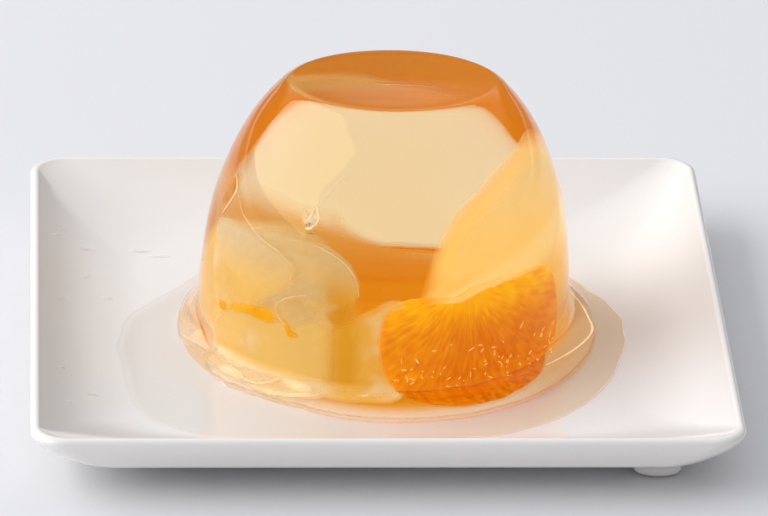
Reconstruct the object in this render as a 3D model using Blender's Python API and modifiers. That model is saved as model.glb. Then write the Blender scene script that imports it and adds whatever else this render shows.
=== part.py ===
"""A moulded fruit jelly, turned out on a square glazed dessert plate.

Units are metres and +Z is up. The origin is on the table, under the middle of the plate.
The jelly is one soft dome that has sagged a little: its flat top leans back, its axis leans
to the right, and its foot has spread into a thin uneven lip. A puddle of its syrup lies round it.
"""
import math

import bmesh
import bpy

# Plate
PLATE_HALF = 0.080          # half the side, over the rim
PLATE_HEIGHT = 0.0155       # table to the crest of the rim
RIM_RADIUS = 0.00125        # half the thickness of the rolled rim
RIM_CORNER = 0.0100         # plan radius of the rim's corners
BELLY_HALF = 0.0770         # where the upright wall turns into the underside
BELLY_HEIGHT = 0.0075
BELLY_CORNER = 0.0160
FOOT_HALF = 0.0600          # outer half side of the square foot ring
FOOT_WIDTH = 0.0040
FOOT_HEIGHT = 0.0012
FOOT_CORNER = 0.0095
FLOOR_TOP = 0.0055          # table to the flat floor inside
FLOOR_HALF = 0.0540
FLOOR_CORNER = 0.0200
WALL_POWER = 1.9            # how late the inner wall steepens
CORNER_STEPS = 6
WALL_STEPS = 9
RIM_STEPS = 5

# Jelly
JELLY_X = 0.0017
JELLY_Y = 0.0040
JELLY_HEIGHT = 0.0618
DOME_RADIUS = 0.0431
DOME_SPAN = 0.0719          # height at which the dome's curve would close
DOME_POWER = 2.6
TOP_EDGE = 0.0020           # rounding between the dome and its flat top
TOP_TILT = math.radians(5.9)
LEAN = 0.026                # sideways shift for each metre of height
LIP_THICKNESS = 0.0022
LIP_BLEND = 0.0060          # height at which the lip has run into the dome
DOME_STEPS = 18
EDGE_STEPS = 5
TURN_STEPS = 72

# Lip radius round the jelly, every 30 degrees from +X towards +Y
LIP_RADII = (0.0496, 0.0494, 0.0480, 0.0475, 0.0475, 0.0470,
             0.0477, 0.0494, 0.0502, 0.0540, 0.0535, 0.0508)

# Syrup
SYRUP_DEPTH = 0.0008
SYRUP_EDGE = 0.0010         # width of the rounded outer edge
# Puddle radius round the jelly, every 22.5 degrees from +X towards +Y
PUDDLE_RADII = (0.0563, 0.0530, 0.0515, 0.0510, 0.0508, 0.0508, 0.0505, 0.0520,
                0.0600, 0.0655, 0.0755, 0.0680, 0.0640, 0.0650, 0.0624, 0.0582)

GAP = 0.0003                # clearance between neighbouring pieces

PORCELAIN = (0.86, 0.84, 0.81)
AMBER = (0.93, 0.62, 0.26)
PEACH = (0.93, 0.76, 0.60)


def clear_scene():
    """Remove every object of the start-up scene."""
    for thing in list(bpy.data.objects):
        bpy.data.objects.remove(thing)


def make_material(name, colour, roughness, transmission=0.0):
    """Return a Principled material of one colour."""
    material = bpy.data.materials.new(name)
    material.use_nodes = True
    shader = material.node_tree.nodes["Principled BSDF"]
    shader.inputs["Base Color"].default_value = (*colour, 1.0)
    shader.inputs["Roughness"].default_value = roughness
    shader.inputs["Transmission Weight"].default_value = transmission
    return material


def add_object(name, mesh, collection, material):
    """Put a mesh in the collection as a smooth-shaded object."""
    mesh.shade_smooth()
    mesh.set_sharp_from_angle(angle=math.radians(40))
    mesh.materials.clear()
    mesh.materials.append(material)
    thing = bpy.data.objects.new(name, mesh)
    collection.objects.link(thing)
    return thing


def rounded_square(half, corner, height):
    """Return a level ring of points: a square with round corners."""
    points = []
    signs = ((1, 1), (-1, 1), (-1, -1), (1, -1))
    for quarter, (sign_x, sign_y) in enumerate(signs):
        for step in range(CORNER_STEPS + 1):
            angle = math.pi / 2 * (quarter + step / CORNER_STEPS)
            x = sign_x * (half - corner) + corner * math.cos(angle)
            y = sign_y * (half - corner) + corner * math.sin(angle)
            points.append((x, y, height))
    return points


def mix(start, end, share):
    """Return the value a share of the way from start to end."""
    return start + (end - start) * share


def plate_sections():
    """Return (half side, corner radius, height) from the foot's inside to the floor."""
    sections = [
        (FOOT_HALF - FOOT_WIDTH, FOOT_CORNER - FOOT_WIDTH / 2, FOOT_HEIGHT),
        (FOOT_HALF - FOOT_WIDTH, FOOT_CORNER - FOOT_WIDTH / 2, 0.0),
        (FOOT_HALF, FOOT_CORNER, 0.0),
        (FOOT_HALF + GAP, FOOT_CORNER, FOOT_HEIGHT),
    ]
    for step in range(1, WALL_STEPS):
        share = step / WALL_STEPS
        half = mix(FOOT_HALF + GAP, BELLY_HALF, share)
        corner = mix(FOOT_CORNER, BELLY_CORNER, math.sqrt(share))
        sections.append((half, corner, mix(FOOT_HEIGHT, BELLY_HEIGHT, share)))
    rim_height = PLATE_HEIGHT - RIM_RADIUS
    for step in range(RIM_STEPS):
        share = step / RIM_STEPS
        half = mix(BELLY_HALF, PLATE_HALF, math.sin(share * math.pi / 2))
        corner = mix(BELLY_CORNER, RIM_CORNER, share)
        sections.append((half, corner, mix(BELLY_HEIGHT, rim_height, share)))
    for step in range(2 * RIM_STEPS + 1):
        angle = math.pi * step / (2 * RIM_STEPS)
        inset = RIM_RADIUS * (1 - math.cos(angle))
        rise = RIM_RADIUS * math.sin(angle)
        sections.append((PLATE_HALF - inset, RIM_CORNER - inset / 2, rim_height + rise))
    inner_half = PLATE_HALF - 2 * RIM_RADIUS
    for step in range(1, WALL_STEPS + 1):
        share = 1 - step / WALL_STEPS
        height = mix(FLOOR_TOP, rim_height, share ** WALL_POWER)
        corner = mix(FLOOR_CORNER, RIM_CORNER - RIM_RADIUS, share)
        sections.append((mix(FLOOR_HALF, inner_half, share), corner, height))
    return sections


def loft(rings, closed=False):
    """Return a mesh through equal rings of points, capped, or joined last to first."""
    shape = bmesh.new()
    loops = [[shape.verts.new(point) for point in ring] for ring in rings]
    pairs = list(zip(loops, loops[1:]))
    if closed:
        pairs.append((loops[-1], loops[0]))
    for lower, upper in pairs:
        for i in range(len(lower)):
            j = (i + 1) % len(lower)
            shape.faces.new((lower[i], lower[j], upper[j], upper[i]))
    if not closed:
        shape.faces.new(loops[0][::-1])
        shape.faces.new(loops[-1])
    bmesh.ops.recalc_face_normals(shape, faces=shape.faces)
    mesh = bpy.data.meshes.new("loft")
    shape.to_mesh(mesh)
    shape.free()
    return mesh


def build_plate(collection):
    """Loft the plate through its sections: foot, underside, wall, rim and well."""
    rings = [rounded_square(*section) for section in plate_sections()]
    material = make_material("porcelain", PORCELAIN, 0.12)
    return add_object("plate", loft(rings), collection, material)


def ring_radius(radii, angle):
    """Read a smooth closed curve through radii that are spaced evenly round the circle."""
    count = len(radii)
    place = (angle / (2 * math.pi) % 1.0) * count
    index = int(place)
    t = place - index
    before, start, end, after = (radii[(index + k) % count] for k in (-1, 0, 1, 2))
    bend = 2 * before - 5 * start + 4 * end - after
    twist = 3 * (start - end) + after - before
    return 0.5 * (2 * start + (end - before) * t + bend * t ** 2 + twist * t ** 3)


def dome_radius(height):
    """Return the dome's radius at a height over the plate's floor."""
    return DOME_RADIUS * math.sqrt(1 - (height / DOME_SPAN) ** DOME_POWER)


def dome_profile():
    """Return (radius, height) from the middle of the top down the side to the middle below."""
    top_radius = dome_radius(JELLY_HEIGHT)
    edge_height = JELLY_HEIGHT - TOP_EDGE
    edge_radius = dome_radius(edge_height)
    flat_radius = top_radius - TOP_EDGE
    profile = [(0.0, JELLY_HEIGHT), (flat_radius / 2, JELLY_HEIGHT)]
    for step in range(EDGE_STEPS):
        t = step / EDGE_STEPS
        radius = (1 - t) ** 2 * flat_radius + 2 * t * (1 - t) * top_radius + t ** 2 * edge_radius
        profile.append((radius, JELLY_HEIGHT - TOP_EDGE * t ** 2))
    for step in range(DOME_STEPS + 1):
        height = mix(edge_height, LIP_BLEND, step / DOME_STEPS)
        profile.append((dome_radius(height), height))
    foot_radius = dome_radius(LIP_BLEND)
    mean_lip = sum(LIP_RADII) / len(LIP_RADII)
    for share in (0.25, 0.6, 0.85):
        height = mix(LIP_BLEND, LIP_THICKNESS, math.sqrt(share))
        profile.append((mix(foot_radius, mean_lip, share ** 1.6), height))
    profile.append((mean_lip, LIP_THICKNESS / 2))
    profile.append((mean_lip - LIP_THICKNESS / 4, 0.0))
    profile.append((0.0, 0.0))
    return profile


def turn(profile, name):
    """Turn a profile round the Z axis with a Screw modifier and return the mesh."""
    mesh = bpy.data.meshes.new(name + "_profile")
    points = [(radius, 0.0, height) for radius, height in profile]
    edges = [(i, i + 1) for i in range(len(points) - 1)]
    mesh.from_pydata(points, edges, [])
    guide = bpy.data.objects.new(name + "_profile", mesh)
    bpy.context.scene.collection.objects.link(guide)
    screw = guide.modifiers.new("turn", "SCREW")
    screw.steps = TURN_STEPS
    screw.render_steps = TURN_STEPS
    screw.use_merge_vertices = True
    screw.merge_threshold = 0.00001
    screw.use_normal_calculate = True
    graph = bpy.context.evaluated_depsgraph_get()
    turned = bpy.data.meshes.new_from_object(guide.evaluated_get(graph))
    bpy.data.objects.remove(guide)
    return turned


def sag(mesh):
    """Spread the lip unevenly, lean the dome and tip its top back, then set it on the plate."""
    mean_lip = sum(LIP_RADII) / len(LIP_RADII)
    foot_radius = dome_radius(LIP_BLEND)
    for vertex in mesh.vertices:
        x, y, height = vertex.co
        radius = math.hypot(x, y)
        if height < LIP_BLEND and radius > foot_radius:
            angle = math.atan2(y, x)
            share = (radius - foot_radius) / (mean_lip - foot_radius)
            spread = 1 + share * (ring_radius(LIP_RADII, angle) - mean_lip) / radius
            x *= spread
            y *= spread
        weight = (height / JELLY_HEIGHT) ** 2
        drop = y * math.tan(TOP_TILT) * weight
        vertex.co = (JELLY_X + x + LEAN * height, JELLY_Y + y, FLOOR_TOP + GAP + height - drop)


def build_jelly(collection):
    """Turn the dome, then let it sag."""
    mesh = turn(dome_profile(), "jelly")
    sag(mesh)
    return add_object("jelly", mesh, collection, make_material("jelly", AMBER, 0.05, 0.9))


def puddle_point(angle, inset, height):
    """Return a point of the puddle's outline, kept on the flat floor of the plate."""
    radius = ring_radius(PUDDLE_RADII, angle) - inset
    limit = FLOOR_HALF - inset
    x = JELLY_X + radius * math.cos(angle)
    y = JELLY_Y + radius * math.sin(angle)
    return max(-limit, min(limit, x)), max(-limit, min(limit, y)), FLOOR_TOP + GAP + height


def lip_point(angle, height):
    """Return a point just outside the jelly's lip."""
    radius = ring_radius(LIP_RADII, angle) + 2 * GAP
    x = JELLY_X + radius * math.cos(angle)
    y = JELLY_Y + radius * math.sin(angle)
    return x, y, FLOOR_TOP + GAP + height


def build_syrup(collection):
    """Lay the thin puddle between the jelly's lip and its own outline."""
    angles = [2 * math.pi * step / TURN_STEPS for step in range(TURN_STEPS)]
    rings = [
        [lip_point(angle, 0.0) for angle in angles],
        [puddle_point(angle, 0.0, 0.0) for angle in angles],
        [puddle_point(angle, 0.0, SYRUP_DEPTH / 3) for angle in angles],
        [puddle_point(angle, SYRUP_EDGE, SYRUP_DEPTH) for angle in angles],
        [lip_point(angle, SYRUP_DEPTH) for angle in angles],
    ]
    material = make_material("syrup", PEACH, 0.05, 0.9)
    return add_object("syrup", loft(rings, closed=True), collection, material)


def main():
    """Build the plate, the jelly and the syrup round it."""
    clear_scene()
    collection = bpy.data.collections.new("moulded_jelly")
    bpy.context.scene.collection.children.link(collection)
    build_plate(collection)
    build_jelly(collection)
    build_syrup(collection)


main()
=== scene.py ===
"""Looks of the moulded fruit jelly: glazed plate, clear amber jelly with fruit set in it, and its syrup."""
import math
import random

import bmesh
import bpy
from mathutils import Matrix, Vector, noise


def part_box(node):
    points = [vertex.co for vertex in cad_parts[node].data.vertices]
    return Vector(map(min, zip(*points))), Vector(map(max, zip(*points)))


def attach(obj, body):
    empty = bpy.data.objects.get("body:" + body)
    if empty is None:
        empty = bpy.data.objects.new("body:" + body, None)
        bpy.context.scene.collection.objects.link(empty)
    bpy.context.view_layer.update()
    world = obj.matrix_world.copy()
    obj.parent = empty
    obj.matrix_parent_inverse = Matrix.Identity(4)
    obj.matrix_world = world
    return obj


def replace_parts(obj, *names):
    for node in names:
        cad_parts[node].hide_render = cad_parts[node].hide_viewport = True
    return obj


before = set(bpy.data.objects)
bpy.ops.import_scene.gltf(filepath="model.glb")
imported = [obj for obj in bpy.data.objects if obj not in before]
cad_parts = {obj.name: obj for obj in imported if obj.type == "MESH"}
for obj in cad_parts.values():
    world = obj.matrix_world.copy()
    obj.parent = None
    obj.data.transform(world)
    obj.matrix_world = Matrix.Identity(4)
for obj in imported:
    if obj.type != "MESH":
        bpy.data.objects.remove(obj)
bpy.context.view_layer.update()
MM = 0.001
SEED = 7
PAINTED_GLINT_COUNT = 70  # painted glints: glowing strokes that stand in for highlights in the mandarin's skin
noise.seed_set(SEED)  # without a seed, the vector noise starts from the clock

# ---- sizes, in metres, from the frame
PLATE_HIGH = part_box("plate")[1]
JELLY_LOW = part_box("jelly")[0]
GAP = 0.3 * MM  # the frame's clearance under the jelly
PLATE_HALF = PLATE_HIGH.x
RIM_TOP = PLATE_HIGH.z
FLOOR = JELLY_LOW.z - GAP  # top of the plate's flat floor

# Plate
RIM_RADIUS = 1.25 * MM
RIM_CORNER = 8.0 * MM
BELLY_HALF = PLATE_HALF - 3.0 * MM
BELLY_HEIGHT = 7.5 * MM
BELLY_CORNER = 16.0 * MM
FOOT_HALF = 60.0 * MM
FOOT_WIDTH = 4.0 * MM
FOOT_HEIGHT = 1.2 * MM
FOOT_CORNER = 9.5 * MM
FLOOR_HALF = 54.0 * MM
FLOOR_CORNER = 20.0 * MM
WALL_POWER = 1.9
RIM_TURN = math.radians(135)  # how far round the rim the inner wall takes over
CORNER_STEPS = 20
WALL_STEPS = 26
RIM_STEPS = 8
RIM_TURN_STEPS = 16

# Jelly
JELLY_X = 1.7 * MM
JELLY_Y = 4.0 * MM
JELLY_HEIGHT = 61.8 * MM
DOME_RADIUS = 43.1 * MM
DOME_SPAN = 71.9 * MM
DOME_POWER = 2.6
TOP_EDGE = 1.6 * MM
TOP_TILT = math.radians(5.9)
TOP_RISE = 0.6 * MM  # how far the top bulges
LEAN = 0.026
LIP_THICKNESS = 1.9 * MM
LIP_EDGE = 0.45 * LIP_THICKNESS  # how deep the lip's rounded edge is
LIP_BLEND = 7.5 * MM  # height at which the flare turns into the dome
LIP_CURVE = 1.8  # how sharply the flare spreads out
LIP_WAVE = 9  # waves round the lip
LIP_RIPPLE = 30  # finer waves on its ragged stretch
BITE_ANGLE = -158.0  # the bite out of the lip, in degrees, and its half width
BITE_WIDTH = 8.0
BITE_DEPTH = 4.2 * MM
CONTACT = 0.15 * MM  # how far the jelly's underside reaches into what it lies on
TURN_STEPS = 288  # points round the jelly, and rows up its parts
EDGE_STEPS = 6
FLARE_STEPS = 15
DOME_STEPS = 60
TOP_EDGE_STEPS = 10
TOP_STEPS = 24
# Lip radius round the jelly, every 30 degrees from +X towards +Y, in mm
LIP_RADII = (49.6, 49.4, 48.0, 47.5, 47.5, 47.0, 47.7, 49.4, 50.2, 54.0, 53.5, 50.8)
LAYER_INSET = 12.0 * MM  # the deep layer gets paler over this much of its edge
LAYER_TURNS = 180
SKIRT_BEND = 5.0 * MM  # how tightly the deep layer curves up the wall at the back
SKIRT_DEPTH = 0.9 * MM  # how far in from the jelly's skin it climbs
SKIRT_LEAST = 1.0 * MM  # it leaves the floor where it climbs higher than this
# Height that the deep layer climbs inside the wall, every 30 degrees from +X towards +Y, in mm
SKIRT_HEIGHTS = (0.3, 0.3, 3.4, 10.2, 19.0, 13.5, 4.5, 0.3, 0.3, 0.3, 0.3, 0.3)
LOWEST = 1.0 * MM  # set pieces stand this high; what is lower lies out in the flare
FORWARD = 1.5  # how far out in the flare, for each mm lower
KNOT_ANGLE = -111.0  # the middle of the uneven wall above the torn spot
KNOT_HEIGHT = 46.5 * MM
KNOT_REACH = 9 * MM  # how far round it the wall is uneven
LAMP_PASS = 0.92  # share of lamp light that each clear wall lets straight through
OUTLINE_STEPS = 144  # points round the outline of a set piece
PILLOW_RINGS = 16  # rings from its middle out to that outline
PEACH_HIGHLIGHT_LINE = 21.8 * MM  # where the painted highlight along the peach's ridge runs: its height over a gentle slope

# Syrup
PUDDLE_DEPTH = 0.55 * MM
PUDDLE_EDGE = 1.6 * MM  # how wide its rounded outer edge is
PUDDLE_CLIMB = 0.9 * MM  # how far it climbs the lip
PUDDLE_SINK = 0.12 * MM  # how far it reaches into the plate
PUDDLE_LEAST = 1.2 * MM  # it is at least this wide
PUDDLE_STEPS = 360
# Puddle radius round the jelly, every 22.5 degrees from +X towards +Y, in mm
PUDDLE_RADII = (56.3, 53.0, 51.5, 51.0, 50.8, 50.8, 50.5, 52.0,
                60.0, 65.5, 75.5, 68.0, 64.0, 65.0, 62.4, 58.2)

# Light
ROOM_LIGHT = 0.42
DIM_LIGHT = 0.12  # low down behind the plate
CEILING_LIGHT = 0.75
WINDOW_LIGHT = 2.9
WINDOW_TONE = (1.0, 1.0, 1.0)
GLEAM_LIGHT = 14.0  # how much brighter the window is in the jelly's reflections
GLEAM_TONE = (0.2, 0.27, 1.0)
WINDOW_SIZE = (3.8, 2.2)
WINDOW_PLACE = (-2.08, 0.11, 1.25)
WINDOW_AIM = Vector((0, 0, 0.03))

# Camera: a long lens in front of the plate, a little to its left
CAMERA_ANGLES = (-2.896, 24.102, 1.2016)  # degrees round the plate, up from the table, and tipped sideways
CAMERA_DISTANCE = 1.7628
CAMERA_TARGET = Vector((0.001035, -0.012863, 0.03))
CAMERA_LENS = 360.06


# ---- mesh helpers
def mix(start, end, share):
    """Return the value a share of the way from start to end."""
    return start + (end - start) * share


def smooth_step(low, high, value):
    """Return 0 below low, 1 above high, and a smooth ramp between."""
    share = max(0.0, min(1.0, (value - low) / (high - low)))
    return share * share * (3 - 2 * share)


def link(name, shape, shader, slot=None, smooth=True):
    """Turn a bmesh into an object, which rides on the root body when it is given a slot."""
    bmesh.ops.recalc_face_normals(shape, faces=shape.faces)
    mesh = bpy.data.meshes.new(name)
    shape.to_mesh(mesh)
    shape.free()
    if smooth:
        mesh.shade_smooth()
    mesh.materials.append(shader)
    thing = bpy.data.objects.new(name, mesh)
    bpy.context.scene.collection.objects.link(thing)
    if slot:
        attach(thing, "root")
    return thing


def add_loft(shape, rings, closed=False):
    """Add faces through equal rings of points, capped at both ends, or joined last to first."""
    loops = [[shape.verts.new(point) for point in ring] for ring in rings]
    pairs = list(zip(loops, loops[1:]))
    if closed:
        pairs.append((loops[-1], loops[0]))
    for lower, upper in pairs:
        for i in range(len(lower)):
            j = (i + 1) % len(lower)
            shape.faces.new((lower[i], lower[j], upper[j], upper[i]))
    if closed:
        return
    for loop in (loops[0], loops[-1]):
        middle = shape.verts.new(sum((vertex.co for vertex in loop), Vector()) / len(loop))
        for i in range(len(loop)):
            shape.faces.new((loop[i], loop[(i + 1) % len(loop)], middle))


def curve_point(before, start, end, after, t):
    """Return the point at t, from 0 at start to 1 at end, on a smooth curve through four points."""
    bend = 2 * before - 5 * start + 4 * end - after
    twist = 3 * (start - end) + after - before
    return 0.5 * (2 * start + (end - before) * t + bend * t ** 2 + twist * t ** 3)


def ring_radius(radii, angle):
    """Read a smooth closed curve through radii in mm that are spaced evenly round the circle."""
    place = (angle / (2 * math.pi) % 1.0) * len(radii)
    index = int(place)
    near = [radii[(index + k) % len(radii)] for k in (-1, 0, 1, 2)]
    return curve_point(*near, place - index) * MM


def smooth_outline(points, count):
    """Return points along a smooth closed curve through the outline's points."""
    found = []
    for step in range(count):
        place = step / count * len(points)
        index = int(place)
        near = [Vector(points[(index + k) % len(points)]) for k in (-1, 0, 1, 2)]
        found.append(curve_point(*near, place - index))
    return found


def smooth_line(points, steps=6):
    """Return points along a smooth open curve, a number of steps from each given point to the next."""
    ends = [Vector(point) for point in (points[0], *points, points[-1])]
    found = []
    for index in range(len(points) - 1):
        found += [curve_point(*ends[index:index + 4], step / steps) for step in range(steps)]
    return found + [ends[-1]]


def ring_wave(angle, waves, seed):
    """Return smooth noise that closes on itself round the circle."""
    return noise.noise(Vector((waves * math.cos(angle), waves * math.sin(angle), seed)))


# ---- material helpers
class Graph:
    """A short way to write a tree of nodes."""

    def __init__(self, tree):
        self.nodes = tree.nodes
        self.links = tree.links

    def fill(self, socket, value):
        """Link a socket to a node's output, or set its own value. Colours are written without alpha."""
        if isinstance(value, bpy.types.NodeSocket):
            self.links.new(value, socket)
        elif socket.type == "RGBA":
            socket.default_value = (*value, 1.0)
        else:
            socket.default_value = value

    def add(self, kind, **values):
        """Add a node, and set its inputs, by name or by number as i0, i1, or its properties."""
        node = self.nodes.new("ShaderNode" + kind)
        for name, value in values.items():
            label = name.replace("_", " ")
            if name[0] == "i" and name[1:].isdigit():
                self.fill(node.inputs[int(name[1:])], value)
            elif label in node.inputs:
                self.fill(node.inputs[label], value)
            else:
                setattr(node, name, value)
        return node

    def span(self, value, start, end, low=0.0, high=1.0):
        """Return a smooth ramp from low, where a value is at the start, to high, where it is at the end."""
        return self.add("MapRange", Value=value, From_Min=start, From_Max=end, To_Min=low, To_Max=high,
                        interpolation_type="SMOOTHSTEP").outputs[0]


class Shade(Graph):
    """A short way to write a node material."""

    def __init__(self, name):
        self.material = bpy.data.materials.new(name)
        self.material.use_nodes = True
        super().__init__(self.material.node_tree)
        self.main = self.nodes["Principled BSDF"]
        self.output = self.nodes["Material Output"]
        self.place = self.add("TexCoord").outputs["Object"]
        self.x, _, self.z = self.add("SeparateXYZ", Vector=self.place).outputs

    def set(self, **values):
        """Fill the main shader's inputs: names are written with _ for a space."""
        for name, value in values.items():
            self.fill(self.main.inputs[name.replace("_", " ")], value)
        return self

    def noise(self, scale, detail=3.0, place=None):
        """Return a noise value from 0 to 1."""
        return self.add("TexNoise", Vector=place or self.place, Scale=scale, Detail=detail).outputs[0]

    def ramp(self, value, stops):
        """Return a colour from stops of (position, (r, g, b))."""
        node = self.add("ValToRGB", Fac=value)
        for step, (position, colour) in zip(node.color_ramp.elements, stops):
            step.position = position
            step.color = (*colour, 1.0)
        return node.outputs[0]

    def blend(self, share, first, second, kind="MIX"):
        """Return a mix of two colours."""
        return self.add("MixRGB", blend_type=kind, i0=share, i1=first, i2=second).outputs[0]

    def times(self, first, second):
        """Return the product of two colours."""
        return self.blend(1.0, first, second, "MULTIPLY")

    def math(self, operation, first, second):
        """Return the result of some arithmetic on two values."""
        return self.add("Math", operation=operation, i0=first, i1=second).outputs[0]

    def vector(self, operation, first, *second, output=0):
        """Return the result of some arithmetic on places: output 0 is a place, and 1 is a number."""
        inputs = {f"i{number}": value for number, value in enumerate((first, *second))}
        return self.add("VectorMath", operation=operation, **inputs).outputs[output]

    def scaled(self, scale, place=None):
        """Return the place stretched along the axes."""
        return self.add("Mapping", Vector=place or self.place, Scale=scale).outputs[0]

    def upward(self, start, end):
        """Return a smooth ramp from 0 to 1 between two heights in mm over the plate's floor."""
        return self.span(self.z, FLOOR + start * MM, FLOOR + end * MM)

    def sideways(self, start, end):
        """Return a smooth ramp from 0 to 1 between two places in mm from left to right."""
        return self.span(self.x, start * MM, end * MM)

    def range(self, value, low, high):
        """Return a value of 0 to 1 spread over low to high."""
        return self.add("MapRange", Value=value, To_Min=low, To_Max=high).outputs[0]

    def mark(self, name):
        """Return a value that the mesh itself carries."""
        return self.add("Attribute", attribute_name=name).outputs["Fac"]

    def bump(self, height, strength, distance):
        """Give the main shader a bump."""
        node = self.add("Bump", Height=height, Strength=strength, Distance=distance)
        return self.set(Normal=node.outputs[0])

    def mix_clear(self, amount, colour=(1.0, 1.0, 1.0)):
        """Mix the main shader with a see-through one."""
        clear = self.add("BsdfTransparent", Color=colour).outputs[0]
        both = self.add("MixShader", i0=amount, i1=self.main.outputs[0], i2=clear)
        self.fill(self.output.inputs["Surface"], both.outputs[0])
        return self

    def clear_rim(self, start, share, inside=0.0):
        """Let a share of what is behind show through at the piece's rim, and a share inside it."""
        amount = self.add("MapRange", Value=self.mark("rim"), From_Min=start, To_Min=inside, To_Max=share)
        return self.mix_clear(amount.outputs[0])

    def painted_glow(self, tone, lit, glow):
        """Let the lamps light a share of the tone, and paint more of it on as a glow: emitted light that
        stands in for light scattered through the piece.
        """
        self.set(Base_Color=self.times(tone, (lit, lit, lit)))
        return self.set(Emission_Color=tone, Emission_Strength=glow)


# ---- materials
def porcelain():
    """White glazed porcelain, a little warm, with a faintly uneven glaze."""
    shade = Shade("porcelain").set(Coat_Weight=0.3, Coat_Roughness=0.05, IOR=1.5, Specular_IOR_Level=0.4)
    tone = shade.ramp(shade.noise(9.0), [(0.3, (0.85, 0.825, 0.80)), (0.7, (0.875, 0.855, 0.835))])
    shade.set(Base_Color=tone, Roughness=shade.range(shade.noise(40.0), 0.09, 0.16))
    shade.bump(shade.noise(55.0, 2.0), 0.12, 0.4 * MM)
    return shade.material


def clear_jelly():
    """Clear, faintly amber jelly, which lets a share of the lamps' light straight through."""
    shade = Shade("clear_jelly").set(Base_Color=(1, 1, 1), Transmission_Weight=1.0, IOR=1.36)
    shade.set(Specular_Tint=(1.0, 0.8, 0.25), Roughness=shade.range(shade.noise(60.0), 0.0, 0.035))
    amber = shade.add("VolumeAbsorption", Color=(0.985, 0.80, 0.30), Density=13.8).outputs[0]
    shade.fill(shade.output.inputs["Volume"], amber)
    shade.mix_clear(shade.add("LightPath").outputs["Is Shadow Ray"], (LAMP_PASS, LAMP_PASS, LAMP_PASS))
    return shade.material


def deep_orange():
    """The deep orange layer at the bottom of the jelly, in faint level streaks, pale over the lip, with a
    painted glow.
    """
    shade = Shade("deep_layer").set(Roughness=0.6, Specular_IOR_Level=0.0)
    streaks = shade.noise(1.0, 4.0, shade.scaled((25, 120, 700)))
    tone = shade.ramp(streaks, [(0.3, (0.84, 0.285, 0.001)), (0.7, (0.90, 0.35, 0.004))])
    tone = shade.blend(shade.upward(-1, 7), tone, (0.88, 0.52, 0.17))
    # partly painted shade: over the lip the film is deeper orange towards the right, where the jelly's
    # orange-tinted shade falls
    film = shade.blend(shade.sideways(25, 42), (0.95, 0.66, 0.38), (0.84, 0.47, 0.18))
    shade.painted_glow(shade.blend(shade.mark("pale"), tone, film), 0.32, 0.6)
    shade.clear_rim(0.0, 1.0)
    return shade.material


def thin_syrup():
    """Thin peach syrup: too thin to bend what is seen through it, but glossy, and warmer towards the right,
    partly as painted orange-tinted shade.
    """
    shade = Shade("thin_syrup")
    # partly painted shade: the syrup's own peach tint and the jelly's orange-tinted shade, warmer towards
    # the right
    tint_and_coloured_shade = shade.add("MapRange", Value=shade.x, From_Min=-30 * MM, From_Max=45 * MM).outputs[0]
    clear = shade.add("BsdfTransparent", Color=shade.blend(tint_and_coloured_shade, (1.0, 0.99, 0.98), (1.0, 0.92, 0.82)))
    gloss = shade.add("BsdfGlossy", Roughness=0.03)
    weak = shade.math("MULTIPLY", shade.add("Fresnel", IOR=1.34).outputs[0], 0.3)
    both = shade.add("MixShader", i0=weak, i1=clear.outputs[0], i2=gloss.outputs[0])
    shade.fill(shade.output.inputs["Surface"], both.outputs[0])
    return shade.material


# ---- plate
def rounded_square(half, corner, height):
    """Return a level ring of points: a square with round corners."""
    points = []
    for quarter, (sign_x, sign_y) in enumerate(((1, 1), (-1, 1), (-1, -1), (1, -1))):
        for step in range(CORNER_STEPS + 1):
            angle = math.pi / 2 * (quarter + step / CORNER_STEPS)
            x = sign_x * (half - corner) + corner * math.cos(angle)
            y = sign_y * (half - corner) + corner * math.sin(angle)
            points.append((x, y, height))
    return points


def well_section(share):
    """Return (half side, corner radius, height) of the inner wall: 0 at the floor, 1 at the rim."""
    inset = RIM_RADIUS * (1 - math.cos(RIM_TURN))
    half = mix(FLOOR_HALF, PLATE_HALF - inset, share)
    corner = mix(FLOOR_CORNER, RIM_CORNER - inset / 2, share)
    top = RIM_TOP - RIM_RADIUS * (1 - math.sin(RIM_TURN))
    return half, corner, mix(FLOOR, top, share ** WALL_POWER)


def plate_sections():
    """Return (half side, corner radius, height) from the foot's inside to the floor."""
    chamfer = 0.25 * MM
    foot_inner = FOOT_HALF - FOOT_WIDTH
    inner_corner = FOOT_CORNER - FOOT_WIDTH / 2
    sections = [
        (foot_inner - chamfer, inner_corner - chamfer, FOOT_HEIGHT),
        (foot_inner, inner_corner, chamfer),
        (foot_inner + chamfer, inner_corner, 0.0),
        (FOOT_HALF - chamfer, FOOT_CORNER, 0.0),
        (FOOT_HALF, FOOT_CORNER, chamfer),
        (FOOT_HALF + GAP, FOOT_CORNER, FOOT_HEIGHT),
    ]
    for step in range(1, WALL_STEPS):
        share = step / WALL_STEPS
        half = mix(FOOT_HALF + GAP, BELLY_HALF, share)
        corner = mix(FOOT_CORNER, BELLY_CORNER, math.sqrt(share))
        sections.append((half, corner, mix(FOOT_HEIGHT, BELLY_HEIGHT, share)))
    rim_height = RIM_TOP - RIM_RADIUS
    for step in range(RIM_STEPS):
        share = step / RIM_STEPS
        half = mix(BELLY_HALF, PLATE_HALF, math.sin(share * math.pi / 2))
        corner = mix(BELLY_CORNER, RIM_CORNER, share)
        sections.append((half, corner, mix(BELLY_HEIGHT, rim_height, share)))
    for step in range(RIM_TURN_STEPS + 1):
        angle = RIM_TURN * step / RIM_TURN_STEPS
        inset = RIM_RADIUS * (1 - math.cos(angle))
        rise = RIM_RADIUS * math.sin(angle)
        sections.append((PLATE_HALF - inset, RIM_CORNER - inset / 2, rim_height + rise))
    for step in range(1, WALL_STEPS + 1):
        sections.append(well_section(1 - step / WALL_STEPS))
    return sections


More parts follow.
